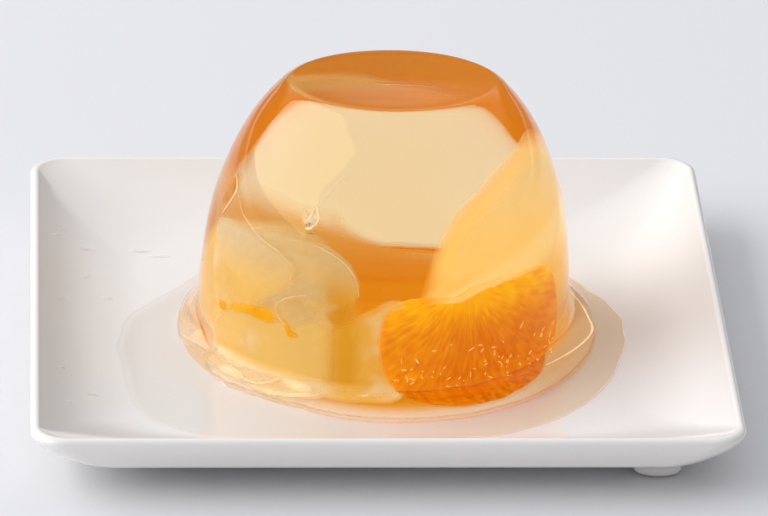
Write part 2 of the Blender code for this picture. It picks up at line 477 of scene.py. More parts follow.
def build_plate():
    """Loft the plate through its sections."""
    shape = bmesh.new()
    add_loft(shape, [rounded_square(*section) for section in plate_sections()])
    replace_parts(link("glazed_plate", shape, porcelain(), "porcelain"), "plate")


def inside_section(x, y, half, corner):
    """Say whether a point is inside a square with round corners."""
    over_x = max(abs(x) - (half - corner), 0.0)
    over_y = max(abs(y) - (half - corner), 0.0)
    return math.hypot(over_x, over_y) <= corner


def well_height(x, y):
    """Return the height of the plate's inner surface at a place."""
    low, high = 0.0, 1.0
    if inside_section(x, y, *well_section(low)[:2]):
        return FLOOR
    for _ in range(24):
        middle = (low + high) / 2
        if inside_section(x, y, *well_section(middle)[:2]):
            high = middle
        else:
            low = middle
    return well_section(high)[2]


# ---- jelly
def dome_radius(height):
    """Return the dome's radius at a height over the plate's floor."""
    return DOME_RADIUS * math.sqrt(max(0.0, 1 - (max(height, 0.0) / DOME_SPAN) ** DOME_POWER))


def jelly_point(angle, radius, height):
    """Return a point of the upright dome, by angle, radius and height, after it has leant and tipped."""
    x = radius * math.cos(angle)
    y = radius * math.sin(angle)
    drop = y * math.tan(TOP_TILT) * (height / JELLY_HEIGHT) ** 2
    return Vector((JELLY_X + x + LEAN * height, JELLY_Y + y, FLOOR + height - drop))


def wall_point(angle, height, depth):
    """Return the place at an angle round the jelly (degrees) and a height, some depth in from its wall."""
    radius = dome_radius(height) - depth + FORWARD * max(0.0, LOWEST - height)
    return jelly_point(math.radians(angle), radius, max(height, LOWEST))


def lip_radius(angle):
    """Return the lip's radius, ragged and with a bite out of it at the front left."""
    ragged = smooth_step(-3.0, -2.5, angle) * (1 - smooth_step(-1.75, -1.45, angle))
    wave = ring_wave(angle, LIP_WAVE, 4.7)
    ripple = ring_wave(angle, LIP_RIPPLE, 1.3)
    bite = BITE_DEPTH * math.exp(-((math.degrees(angle) - BITE_ANGLE) / BITE_WIDTH) ** 2)
    plain = ring_radius(LIP_RADII, angle) - bite
    return plain + (0.25 + 0.9 * ragged) * MM * wave + 0.5 * ragged * MM * ripple


def skin_radius(angle, height):
    """Return the jelly's outer radius at an angle and a height, with its flare."""
    if height >= LIP_BLEND:
        return dome_radius(height)
    share = min(1.0, (LIP_BLEND - height) / (LIP_BLEND - LIP_THICKNESS)) ** 2
    return mix(dome_radius(LIP_BLEND), lip_radius(angle) - LIP_EDGE, share ** LIP_CURVE)


def lip_rows(lips):
    """Return rows of (radius, height) from the middle of the bottom, round the lip and up its flare."""
    rows = [[(lip * share, 0.0) for lip in lips] for share in (0.35, 0.7, 0.93)]
    for step in range(EDGE_STEPS + 1):
        turn = math.pi * step / EDGE_STEPS
        inset = LIP_EDGE * (1 - math.sin(turn))
        rise = LIP_THICKNESS * 0.5 * (1 - math.cos(turn))
        rows.append([(lip - inset, rise) for lip in lips])
    foot = dome_radius(LIP_BLEND)
    for step in range(1, FLARE_STEPS):
        share = 1 - step / FLARE_STEPS
        height = mix(LIP_BLEND, LIP_THICKNESS, math.sqrt(share))
        rows.append([(mix(foot, lip - LIP_EDGE, share ** LIP_CURVE), height) for lip in lips])
    return rows


def dome_profile():
    """Return (radius, height) pairs up the dome, round its top edge and in to the middle of its top."""
    edge_height = JELLY_HEIGHT - TOP_EDGE
    heights = [mix(LIP_BLEND, edge_height, step / DOME_STEPS) for step in range(DOME_STEPS + 1)]
    profile = [(dome_radius(height), height) for height in heights]
    top = dome_radius(JELLY_HEIGHT)
    flat = top - TOP_EDGE
    for step in range(1, TOP_EDGE_STEPS + 1):
        t = step / TOP_EDGE_STEPS
        radius = (1 - t) ** 2 * dome_radius(edge_height) + 2 * t * (1 - t) * top + t ** 2 * flat
        profile.append((radius, edge_height + TOP_EDGE * (1 - (1 - t) ** 2)))
    for step in range(1, TOP_STEPS):
        share = 1 - step / TOP_STEPS
        profile.append((flat * share, JELLY_HEIGHT + TOP_RISE * (1 - share ** 2) ** 2))
    return profile


def skin_point(angle, radius, height, knot):
    """Return a point of the jelly's skin: slightly uneven, more so near the torn spot, and pressed down."""
    place = jelly_point(angle, radius, height)
    if height > LIP_THICKNESS:
        torn = math.exp(-((place - knot).length / KNOT_REACH) ** 2)
        swell = noise.noise(place * 70.0) * 0.12 * MM
        swell += noise.noise(place * 190.0) * (0.03 + 0.12 * torn) * MM
        fade = smooth_step(LIP_THICKNESS, LIP_BLEND, height)
        place += Vector((math.cos(angle), math.sin(angle), 0.25)) * swell * fade
    place.z -= CONTACT * (1 - smooth_step(0.0, LIP_BLEND, height))
    return place


def build_jelly():
    """Build the clear jelly, which shows what is set in it."""
    angles = [-math.pi + 2 * math.pi * step / TURN_STEPS for step in range(TURN_STEPS)]
    rows = lip_rows([lip_radius(angle) for angle in angles])
    rows += [[spot] * TURN_STEPS for spot in dome_profile()]
    knot = wall_point(KNOT_ANGLE, KNOT_HEIGHT, 0.0)
    shape = bmesh.new()
    add_loft(shape, [[skin_point(angle, *spot, knot) for angle, spot in zip(angles, row)] for row in rows])
    jelly = link("clear_jelly", shape, clear_jelly(), "jelly")
    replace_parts(jelly, "jelly")
    return jelly


def skirt_height(angle):
    """Return how high the deep layer climbs inside the wall, with a quick fall just right of the back."""
    fall = smooth_step(math.radians(95), math.radians(80), angle)
    return ring_radius(SKIRT_HEIGHTS, angle) * mix(1.0, 0.5, fall)


def layer_point(angle, share, outward, side):
    """Return a point of the deep layer on the floor, with how clear and how pale it is there."""
    edge = lip_radius(angle) - LIP_EDGE
    radius = min(mix(edge - LAYER_INSET, edge, outward) * share, skin_radius(angle, 0.0) - 0.1 * MM)
    place = jelly_point(angle, radius, 0.0)
    place.z += mix(-0.05, 0.12, side) * MM
    front = 1 - smooth_step(0.5, 0.85, math.sin(angle))
    flank = smooth_step(0.3, 0.85, abs(math.cos(angle)))
    first = mix(0.4, 0.0, flank)
    left = smooth_step(0.3, 0.85, -math.cos(angle)) * smooth_step(0.6, 1.0, share)
    pale = max(smooth_step(first, first + 0.5, outward), 0.75 * left) * front
    clear = mix(0.45, 0.5, flank) * smooth_step(0.5 - 0.3 * flank, 1.0, outward) * front
    return place, (clear, pale)


def skirt_point(angle, turned, climb, side):
    """Return a point of the deep layer inside the wall, with how clear and how pale it is there."""
    top = skirt_height(angle)
    standing = smooth_step(SKIRT_LEAST, 4.0 * MM, top)
    bent = turned * math.pi / 2
    radius = dome_radius(LIP_BLEND) - SKIRT_DEPTH - SKIRT_BEND * (1 - math.sin(bent))
    height = SKIRT_BEND * standing * (1 - math.cos(bent))
    height = mix(height, max(top, height), climb)
    radius = min(radius, skin_radius(angle, height) - SKIRT_DEPTH) - 0.17 * MM * side
    place = jelly_point(angle, radius, height)
    place.z += mix(-0.3, -0.18, side) * MM
    return place, (max(smooth_step(0.4, 0.97, height / top), 1 - standing), 0.0)


def build_deep_layer():
    """Lay the deep orange layer under the jelly, pale over the lip and curved up inside the wall behind."""
    angles = [2 * math.pi * turn / LAYER_TURNS for turn in range(LAYER_TURNS)]
    flat = [(share, 0.0) for share in (0.3, 0.6, 0.8, 1.0)] + [(1.0, step / 8) for step in range(1, 9)]
    flat = [(*spot, 0.0) for spot in flat] + [(*spot, 1.0) for spot in reversed(flat)]
    layer = [[layer_point(angle, *spot) for angle in angles] for spot in flat]
    bent = [(step / 8, 0.0) for step in range(9)] + [(1.0, step / 12) for step in range(1, 13)]
    bent = [(*spot, 0.0) for spot in bent] + [(*spot, 1.0) for spot in reversed(bent)]
    behind = [angle for angle in angles if skirt_height(angle) > SKIRT_LEAST]
    skirt = [[skirt_point(angle, *spot) for spot in bent] for angle in behind]
    shape = bmesh.new()
    marks = [shape.verts.layers.float.new(name) for name in ("rim", "pale")]
    for rings in (layer, skirt):
        add_loft(shape, [[place for place, _ in ring] for ring in rings])
    # The layer's two cap points take the skirt's first two values, so the skirt fades two points early
    values = [value for ring in layer + skirt for _, value in ring]
    for vertex, numbers in zip(shape.verts, values):
        for mark, number in zip(marks, numbers):
            vertex[mark] = number
    link("deep_layer", shape, deep_orange(), "jelly")


# ---- syrup
def puddle_radius(angle):
    """Return the puddle's outer radius, a little uneven."""
    return ring_radius(PUDDLE_RADII, angle) + 0.8 * MM * ring_wave(angle, 6, 8.0)


def puddle_span(angle):
    """Return the puddle's inner and outer radius."""
    inner = lip_radius(angle) - 0.1 * MM
    return inner, max(puddle_radius(angle), inner + PUDDLE_LEAST)


def plate_point(angle, radius, lift):
    """Return a place round the jelly, lifted over the plate's inner surface."""
    x = JELLY_X + radius * math.cos(angle)
    y = JELLY_Y + radius * math.sin(angle)
    return Vector((x, y, well_height(x, y) + lift))


def puddle_top(angle, share):
    """Return a point of the puddle's upper face, which climbs the lip and is rounded at its outer edge."""
    inner, outer = puddle_span(angle)
    radius = mix(inner, outer, share)
    rim = min(1.0, (outer - radius) / PUDDLE_EDGE)
    climb = PUDDLE_CLIMB * math.exp(-(radius - inner) / (1.1 * MM))
    return plate_point(angle, radius, PUDDLE_DEPTH * math.sqrt(max(0.0, 1 - (1 - rim) ** 2)) + climb)


def puddle_foot(angle, share):
    """Return a point of the puddle's underside."""
    return plate_point(angle, mix(*puddle_span(angle), share), -PUDDLE_SINK)


def build_syrup():
    """Lay the thin puddle of syrup from the jelly's lip to its own uneven outline."""
    angles = [-math.pi + 2 * math.pi * step / PUDDLE_STEPS for step in range(PUDDLE_STEPS)]
    shares = (0.0, 0.08, 0.2, 0.4, 0.6, 0.75, 0.86, 0.93, 0.97, 1.0)
    rings = [[puddle_top(angle, share) for angle in angles] for share in shares]
    rings += [[puddle_foot(angle, share) for angle in angles] for share in reversed(shares)]
    shape = bmesh.new()
    add_loft(shape, rings, closed=True)
    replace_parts(link("thin_syrup", shape, thin_syrup(), "syrup"), "syrup")


# ---- fruit
def pillow(name, outline, place, front, back, shader, slot, power=2.4, rough=0.2, lumps=0.3):
    """Build a closed rounded piece over an outline. place(u, v, w) is w mm out of its middle surface."""
    edge = smooth_outline(outline, OUTLINE_STEPS)
    middle = sum(edge, Vector((0.0, 0.0))) / len(edge)
    steps = [math.sin(level / PILLOW_RINGS * math.pi / 2) for level in range(1, PILLOW_RINGS + 1)]
    rows = [(share, front) for share in steps] + [(share, -back) for share in reversed(steps[:-1])]
    shape = bmesh.new()
    rim = shape.verts.layers.float.new("rim")
    rings = []
    rims = []
    for share, side in rows:
        ring = []
        for point in edge:
            u, v = middle + (point - middle) * share
            spot = place(u, v, side * max(0.0, 1 - share ** power) ** (1 / power))
            large, small = noise.noise_vector(spot * 150.0), noise.noise_vector(spot * 600.0)
            spot += large * lumps * MM + small * rough * MM
            ring.append(spot)
            rims.append(share)
        rings.append(ring)
    add_loft(shape, rings)
    for vertex, value in zip(shape.verts, rims):
        vertex[rim] = value
    link(name, shape, shader, slot)


def on_wall(depth, deeper=0.0, turn_from=0.0, turn_to=0.0):
    """Return a place function inside the jelly's wall (degrees, mm), deeper towards one side."""
    def place(u, v, w):
        extra = deeper * smooth_step(turn_from, turn_to, u) if turn_from != turn_to else 0.0
        return wall_point(u, v * MM, (depth + extra - w) * MM)
    return place


def flesh(name, paint, lit=0.28, glow=0.62, clear=(0.9, 0.9, 0.0), stretch=(1.0, 1.0, 0.4)):
    """Fruit flesh set in jelly, painted by a function, with faint veins and a clear rim; most of its
    brightness is a painted glow.
    """
    shade = Shade(name).set(Roughness=0.5, Specular_IOR_Level=0.05)
    grain = shade.noise(70.0, 4.0, shade.scaled(stretch))
    veins = shade.ramp(grain, [(0.3, (0.96, 0.96, 0.96)), (0.7, (1, 1, 1))])
    shade.painted_glow(shade.times(paint(shade), veins), lit, glow)
    shade.clear_rim(*clear)
    return shade.material


def pear_tone_and_light(shade):
    """Paint pear: greyer high up, yellow low down at the left, and amber towards the middle of the jelly.
    The yellow and the pale foot low at the left are partly painted light, the window's light shining
    through.
    """
    # partly painted light: yellow and paler low down at the left, where the window's light comes through the
    # fruit
    low = shade.blend(shade.sideways(-15, -9), (0.94, 0.55, 0.135), (0.86, 0.37, 0.02))
    low = shade.blend(shade.sideways(-7.5, -4), low, (0.95, 0.46, 0.06))
    foot = shade.blend(shade.sideways(-16, -8), (1.0, 0.70, 0.36), (0.95, 0.52, 0.10))
    low = shade.blend(shade.upward(4, 1.2), low, foot)
    low = shade.blend(shade.span(shade.noise(95.0, 2.0), 0.50, 0.72), low, (1.0, 0.66, 0.30))
    high = shade.blend(shade.sideways(-34, -14), (0.78, 0.55, 0.28), (0.80, 0.51, 0.20))
    return shade.blend(shade.upward(20, 31), low, high)


def peach_tone_and_highlight(shade):
    """Paint the peach wedge: golden, paler at its top, with a painted highlight along the ridge at its lower
    right, and deeper at its foot.
    """
    tone = shade.blend(shade.upward(28, 22), (0.97, 0.57, 0.145), (0.90, 0.45, 0.06))
    tone = shade.blend(shade.upward(30, 48), tone, (0.90, 0.58, 0.22))
    right = shade.sideways(24, 34)
    foot = shade.upward(20, 10)
    corner = shade.math("MULTIPLY", right, foot)
    tone = shade.blend(corner, tone, (0.78, 0.33, 0.04))
    # painted highlight: a pale band along the wedge's ridge
    slope = shade.math("MULTIPLY", shade.x, 0.4)
    above = shade.math("SUBTRACT", shade.z, slope)
    upper = shade.span(above, PEACH_HIGHLIGHT_LINE + 3 * MM, PEACH_HIGHLIGHT_LINE)
    lower = shade.span(above, PEACH_HIGHLIGHT_LINE - 7 * MM, PEACH_HIGHLIGHT_LINE - 2 * MM)
    painted_highlight_band = shade.math("MULTIPLY", upper, lower)
    return shade.blend(painted_highlight_band, tone, (0.98, 0.62, 0.20))


def plain_tone(pale, deep, scale=200.0):
    """Return a function that paints a piece in two uneven tones."""
    return lambda shade: shade.ramp(shade.noise(scale), [(0.35, deep), (0.65, pale)])


def mandarin_fan(shade):
    """Return a place that runs round and out from the mandarin's notch, where its juice sacs meet."""
    notch_angle = -66.0
    turn = math.radians(notch_angle)
    notch = wall_point(notch_angle, 27 * MM, 3 * MM)
    offset = shade.vector("SUBTRACT", shade.place, notch)
    sideways = (-math.sin(turn), math.cos(turn), 0)
    across = shade.vector("DOT_PRODUCT", offset, sideways, output=1)
    down = shade.vector("DOT_PRODUCT", offset, (0, 0, -1), output=1)
    reach = shade.vector("LENGTH", offset, output=1)
    return shade.add("CombineXYZ", i0=shade.math("ARCTAN2", across, down), i1=reach).outputs[0]


def mandarin_flesh():
    """Mandarin flesh: juice sacs fan out from the notch, golden at the ends and deep orange low down; the
    golden ends are partly painted light that shows through them, and the darker foot is painted shade.
    """
    shade = Shade("mandarin_flesh").set(Roughness=0.4, Specular_IOR_Level=0.1, Subsurface_Weight=0.5)
    shade.set(Subsurface_Radius=(1.0, 0.4, 0.1), Subsurface_Scale=3 * MM)
    heart = wall_point(-54.0, 2 * MM, -2 * MM)
    away = shade.vector("DISTANCE", shade.place, heart, output=1)
    # partly painted light: lighter away from the low heart and golden high up, where the thin ends let light
    # through
    tone = shade.blend(shade.span(away, 9 * MM, 29 * MM), (0.74, 0.18, 0.0), (0.81, 0.25, 0.0))
    tone = shade.blend(shade.upward(14, 25), tone, (0.95, 0.41, 0.0))
    fan = mandarin_fan(shade)
    wide = shade.scaled((5.0, 190.0, 1.0), fan)
    sacs = shade.add("TexVoronoi", Vector=wide, Scale=1.6, feature="SMOOTH_F1", Smoothness=0.6).outputs[0]
    fine = shade.noise(1.0, 5.0, shade.scaled((26.0, 260.0, 1.0), fan))
    tone = shade.times(tone, shade.ramp(sacs, [(0.1, (1.0, 1.04, 1.0)), (0.7, (0.93, 0.82, 1.0))]))
    tone = shade.times(tone, shade.ramp(fine, [(0.35, (0.92, 0.82, 1.0)), (0.65, (1.04, 1.16, 1.0))]))
    # painted shade: darker along the segment's foot
    foot = shade.upward(1.7, 1.05)
    tone = shade.times(tone, shade.blend(foot, (1.0, 1.0, 1.0), (0.64, 0.58, 1.0)))
    shade.painted_glow(tone, 0.3, 0.92)
    shade.bump(sacs, 0.5, 0.5 * MM)
    shade.clear_rim(0.96, 0.8)
    return shade.material


# Outlines of the set pieces: degrees round the jelly from +X, and mm over the plate's floor
MANDARIN = [(-94.8, 15), (-93, 20.5), (-88, 22.4), (-79, 23.2), (-68, 22.6), (-61.5, 24), (-51.5, 24.6),
            (-43, 24.9), (-33, 24.3), (-26.5, 22.2), (-22, 16), (-21.5, 7.5), (-23.5, 4.0), (-31.5, 0.3),
            (-42, -2.8), (-52, -4.4), (-62, -5.3), (-70, -5.4), (-78, -4.2), (-84.5, -1.8), (-89.5, 2.2),
            (-93, 8)]
WEDGE = [(-80, 18), (-79, 23), (-74, 31.4), (-68, 36.3), (-61, 40), (-44, 45.3), (-27, 48.6), (-8, 49.5),
         (8, 46), (26, 38), (38, 24), (36, 9), (20, 0), (-20, -1), (-50, 0), (-72, 6)]
PEAR_HALF = [(-206, 0), (-205, 10), (-198, 18), (-188, 24), (-174, 28.5), (-160, 31.2), (-145, 33.6),
             (-131, 33.6), (-120, 31.5), (-110, 26), (-104, 20), (-100, 15), (-99, 2), (-110, -1),
             (-140, -1.5), (-175, -1)]
SLICE = [(-169, 18), (-172.5, 27.5), (-168, 30), (-158, 31), (-147, 31.4), (-134.5, 29.6), (-126, 27),
         (-129, 20), (-140, 15), (-152, 11), (-162, 11)]
HIND_SLICE = [(-147, 30), (-138, 32.4), (-128, 32.4), (-118, 32), (-109.5, 30), (-104, 26.8), (-102, 22.5),
              (-106, 19.5), (-120, 18), (-134, 19), (-143, 24)]
FLAKE = [(-143, 16), (-132, 22.6), (-122, 26.6), (-116, 27.5), (-113, 24.5), (-112.5, 21.5), (-119, 20),
         (-130, 18)]
CHIP = [(-130.4, 18.6), (-127.4, 20.8), (-122, 22.4), (-117, 23.2), (-113, 22), (-110.6, 18.8),
        (-114, 17), (-119, 15.6), (-123, 14), (-126.5, 15.4), (-129.4, 17)]
CHUNK = [(-161, 4), (-158, 9.5), (-151, 14.3), (-140, 15.2), (-130, 15.2), (-122, 16), (-113, 17.6),
         (-108.5, 15.5), (-107.5, 6), (-108.5, -2.6), (-117, -3.6), (-128, -3.6), (-139, -3.2),
         (-153.5, -3.1), (-159, -0.5)]
FAR_SLAB = [(-111, 15.5), (-105, 17.6), (-98, 20.2), (-90, 22.9), (-84, 20), (-82, 8), (-87, -2.2),
            (-97, -3.4), (-107, -3.2), (-112, 0), (-112.5, 8)]
SLIVER = [(-150.5, 13.7), (-150, 14.8), (-142, 16.8), (-135, 17.5), (-130, 17.2), (-128.7, 15.6),
          (-132, 14.5), (-137.5, 14.8), (-144.6, 14.4)]
SPECK = [(-156.5, 12.8), (-155.8, 14.2), (-152.5, 14.2), (-152, 13), (-154, 12.2)]
SHRED = [(-126, 15.9), (-124.6, 16), (-123, 13.7), (-120.8, 13.6), (-121.2, 12.9), (-124, 13)]
TORN_FLAKE = [(-124.4, 41.6), (-121.5, 42.4), (-118.4, 41.9), (-117.2, 40.2), (-118.2, 38.2),
              (-121, 37.4), (-123.4, 38.8)]
# Painted shade in the torn knot's pits, as dark blobs: degrees round the jelly, mm over the floor, and their
# size in mm
TORN_PIT_SHADES = ((-121.6, 38.5, 0.7, 0.4, 0.5), (-120.7, 38.9, 0.9, 0.4, 0.4), (-119.6, 37.0, 1.6, 0.3, 0.3))
SHARD = [(-163.4, 42.2), (-161.0, 41.2), (-159.0, 39.6), (-160.0, 37.6), (-161.6, 35.6), (-163.8, 33.0),
         (-166.2, 34.2), (-168.6, 35.8), (-167.8, 37.6), (-165.6, 40.2)]

# Painted highlights, thin glowing lines inside the wall where set pieces end and along cracks: mm in from
# the wall, and then points as above
EDGE_HIGHLIGHTS = {
    "slice_line": (1.0, [(-159.6, 40), (-155, 37.4), (-151.9, 35.8), (-147.2, 34.6), (-142.6, 33.3),
                         (-136.6, 32), (-131.4, 31.2), (-126.9, 29.7), (-123.5, 28.4)]),
    "hind_line": (7.4, [(-124, 32.2), (-118, 31.8), (-109.6, 29.8), (-104.2, 26.6), (-102.2, 22.4)]),
    "left_line": (1.0, [(-169.8, 30.6), (-165.1, 27.8), (-160.7, 24.7), (-155.3, 20.2), (-151.8, 15.9),
                        (-149.3, 15.1)]),
    "chip_line": (1.0, [(-118.8, 23.3), (-122, 22.6), (-124.4, 22), (-127.2, 20.8), (-129.3, 19.5),
                        (-129.1, 17.9), (-127.7, 16.7), (-125.7, 15.5), (-122.4, 13.7)]),
    "chunk_line": (1.0, [(-154, 12.6), (-156.9, 9.2), (-157.7, 6), (-157.2, 2.6)]),
    "fold_line": (0.1, [(-121.8, 41.0), (-119.6, 42.6), (-117.0, 44.6), (-114.2, 46.8), (-112.0, 48.4),
                        (-109.6, 49.4)]),
    "crack_right": (0.0, [(-115.8, 40.3), (-112.6, 40.9), (-109.4, 41.2), (-108.4, 40.2), (-107.8, 39.1)]),
}
# Painted highlights along the torn knot's ragged edges
KNOT_HIGHLIGHTS = (
    [(-118.9, 42.4), (-118.2, 41.6), (-117.8, 40.7), (-117.8, 39.7), (-118.3, 39.0)],
    [(-118.6, 38.9), (-119.6, 38.2), (-120.8, 37.8), (-121.9, 37.7)],
    [(-121.4, 39.9), (-120.6, 40.6), (-119.9, 41.7)],
)


def build_fruit():
    """Set the fruit in the jelly."""
    pillow("mandarin_segment", MANDARIN, on_wall(2.2), 1.2, 9.0, mandarin_flesh(), "mandarin", power=3.0)
    peach = flesh("peach_flesh", peach_tone_and_highlight, 0.3, 0.86, (0.8, 1.0, 0.0), (1.0, 1.0, 0.35))
    pillow("peach_wedge", WEDGE, on_wall(2.6, 5.0, -18.0, -78.0), 0.8, 9.0, peach, "pale_fruit", power=3.0)
    pear = flesh("pear_flesh", pear_tone_and_light)
    half = flesh("half_flesh", pear_tone_and_light, clear=(0.8, 1.0, 0.0))
    pillow("pear_half", PEAR_HALF, on_wall(11.0), 2.0, 7.0, half, "pale_fruit", power=3.0, lumps=0.5)
    pillow("pear_slice", SLICE, on_wall(5.0), 0.5, 2.0, pear, "pale_fruit", power=5.0, lumps=0.15)
    pillow("pear_hind_slice", HIND_SLICE, on_wall(8.0), 0.5, 3.0, pear, "pale_fruit", power=5.0, lumps=0.15)
    grey = flesh("clear_flesh", plain_tone((0.78, 0.50, 0.20), (0.74, 0.46, 0.16)), clear=(0.5, 1.0, 0.2))
    pillow("pear_flake", FLAKE, on_wall(4.2), 0.3, 0.4, grey, "pale_fruit", power=5.0, lumps=0.1)
    chip = flesh("chip_flesh", plain_tone((0.82, 0.50, 0.17), (0.77, 0.45, 0.13)), clear=(0.5, 1.0, 0.2))
    pillow("pear_chip", CHIP, on_wall(1.8), 0.3, 0.5, chip, "pale_fruit", power=5.0, lumps=0.1)
    pillow("pear_chunk", CHUNK, on_wall(2.4), 0.6, 5.0, pear, "pale_fruit", power=4.0, rough=0.1, lumps=0.4)
    pillow("pear_far_slab", FAR_SLAB, on_wall(2.8), 0.5, 6.0, pear, "pale_fruit", power=4.0, lumps=0.4)
    peel = flesh("peel", plain_tone((0.97, 0.44, 0.005), (0.92, 0.36, 0.0)), 0.28, 0.7, (0.8, 0.9, 0.0))
    for name, outline in (("sliver", SLIVER), ("speck", SPECK), ("shred", SHRED)):
        pillow("mandarin_" + name, outline, on_wall(1.3), 0.4, 0.5, peel, "mandarin", lumps=0.1)


def join_blobs(name, blobs, shader, slot):
    """Join small uneven blobs, each given by its place and its size in mm along three axes."""
    shape = bmesh.new()
    for place, size in blobs:
        made = bmesh.ops.create_icosphere(shape, subdivisions=2, radius=1.0)["verts"]
        turn = random.uniform(0, math.pi)
        spin = Matrix.Rotation(turn, 4, Vector((random.random(), 0.3, random.random())))
        for vertex in made:
            dent = 1 + 0.35 * noise.noise(vertex.co * 1.3 + place * 900)
            spot = spin @ Vector([part * length * dent * MM / 2 for part, length in zip(vertex.co, size)])
            vertex.co = place + spot
    link(name, shape, shader, slot)


def build_painted_glints():
    """Scatter tiny painted glints, glowing thin strokes lying all ways, over the lower front of the
    mandarin.
    """
    random.seed(SEED)
    painted_glints = []
    for _ in range(PAINTED_GLINT_COUNT):
        angle = random.uniform(-90, -26)
        height = random.triangular(-1.5, 15.0, 5.0)
        length = random.choice((0.5, 0.9, 1.3, 1.8))
        painted_glints.append((wall_point(angle, height * MM, 0.5 * MM), (0.14, 0.14, length)))
    painted_glints.append((wall_point(-34.5, 8.4 * MM, 0.5 * MM), (0.45, 0.45, 1.1)))
    tone = plain_tone((1.0, 0.80, 0.36), (1.0, 0.50, 0.08), 700.0)
    bright = flesh("painted_glint", tone, 0.3, 1.15, (0.9, 0.0, 0.0))
    join_blobs("mandarin_painted_glints", painted_glints, bright, "mandarin")


# ---- torn jelly and fine lines
def wet_chip_and_highlight():
    """Torn cream-coloured jelly, wet, with a painted glow; it also draws the painted highlights along folds
    and torn edges.
    """
    shade = Shade("wet_chip_and_highlight").set(Roughness=0.15, Specular_IOR_Level=0.4)
    tone = shade.ramp(shade.noise(300.0), [(0.35, (0.96, 0.68, 0.33)), (0.7, (1.0, 0.78, 0.48))])
    shade.painted_glow(tone, 0.3, 0.75)
    shade.bump(shade.noise(500.0), 0.3, 0.2 * MM)
    shade.clear_rim(0.3, 1.0, 0.15)
    return shade.material


def painted_wet_edge_highlight():
    """A painted highlight with a faint glow: the bright rounded edge of a wet puddle."""
    shade = Shade("painted_wet_edge_highlight").set(Base_Color=(0.95, 0.86, 0.78), Roughness=0.2, Specular_IOR_Level=0.6)
    shade.set(Emission_Color=(1.0, 0.82, 0.74), Emission_Strength=0.2)
    shade.mix_clear(shade.range(shade.noise(120.0), 0.2, 0.7))
    return shade.material


def painted_edge_highlight():
    """Painted highlight: the thin glowing line where a set piece or a crack ends, or a streak on the lip."""
    shade = Shade("painted_edge_highlight").set(Roughness=0.3, Specular_IOR_Level=0.2)
    tone = shade.ramp(shade.noise(260.0), [(0.35, (0.94, 0.62, 0.28)), (0.65, (1.0, 0.76, 0.44))])
    shade.painted_glow(tone, 0.3, 0.55)
    shade.mix_clear(shade.range(shade.noise(180.0), 0.3, 0.85))
    return shade.material


# Torn cream pieces on the lip at the front left: degrees round the jelly, and mm from its middle
LIP_PIECES = {
    "lip_blob": [(-145.5, 47.3), (-143.7, 45.2), (-139.2, 45.2), (-135, 46.3), (-134.5, 48.4),
                 (-138.7, 48.6), (-142.4, 48.3)],
    "lip_wedge": [(-125.4, 42.6), (-123.2, 41.4), (-119.3, 41.5), (-114.4, 42.5), (-113.1, 45.4),
                  (-116, 46.4), (-120, 45.3)],
    "lip_strip": [(-131, 48.4), (-124, 49), (-117, 48.2), (-111, 46.2), (-112, 47.6), (-118, 49.4),
                  (-125, 50), (-130, 49.6)],
    "lip_tick": [(-99.2, 44.7), (-97.5, 44.3), (-95.8, 44.2), (-97.5, 44.8)],
}
# Painted highlights along the lip's bright folds
LIP_HIGHLIGHTS = {
    "lip_crescent": [(-135.9, 47.1), (-132.8, 47.6), (-129.7, 47.4), (-127.5, 46.0), (-125.9, 43.8),
                     (-125.4, 41.6)],
    "lip_fold": [(-37, 45.6), (-28, 46.6), (-18, 48), (-12, 48.8), (-7, 49), (0, 48), (8, 47.3),
                 (14, 46.8), (20, 46.6)],
    "lip_crease": [(-126.5, 49.0), (-121.9, 48.9), (-117.9, 48.0), (-112.9, 46.0)],
}
# Painted highlights: thin light streaks low on the lip at the left
LIP_STREAK_HIGHLIGHTS = {
    "lip_streak_1": [(-203, 46.4), (-194, 46.9), (-186, 46.9), (-177, 46.6), (-171, 45.2)],
    "lip_streak_2": [(-193, 45.2), (-187, 46.0), (-181, 45.9), (-176, 44.6)],
    "lip_streak_3": [(-197, 44.6), (-189, 44.6), (-181, 45.0), (-174, 44.6), (-167, 43.2)],
}


def on_lip(lift):
    """Return a place function low in the flare (degrees, mm from the jelly's middle), lifted by some mm."""
    def place(u, v, w):
        angle, radius = math.radians(u), v * MM
        foot = dome_radius(LIP_BLEND)
        edge = lip_radius(angle) - LIP_EDGE
        share = max(0.0, min(1.0, (radius - foot) / (edge - foot))) ** (0.5 / LIP_CURVE)
        surface = LIP_BLEND - (LIP_BLEND - LIP_THICKNESS) * share
        return jelly_point(angle, radius, min(LIP_THICKNESS, surface) + (lift + w) * MM)
    return place


def thread(name, lines, radius, shader, slot):
    """Run thin uneven ridges, pointed at both ends, along lines of points."""
    shape = bmesh.new()
    for line in lines:
        rings = []
        last = len(line) - 1
        for index, place in enumerate(line):
            along = (line[min(index + 1, last)] - line[max(index - 1, 0)]).normalized()
            side = along.cross(Vector((0, 0, 1))).normalized()
            up = side.cross(along)
            taper = math.sin(math.pi * mix(0.06, 0.94, index / last)) ** 0.5
            wide = radius * taper * (1 + 0.5 * noise.noise(place * 700))
            turns = [2 * math.pi * step / 6 for step in range(6)]
            rings.append([place + (side * math.cos(turn) + up * math.sin(turn)) * wide for turn in turns])
        add_loft(shape, rings)
    link(name, shape, shader, slot)


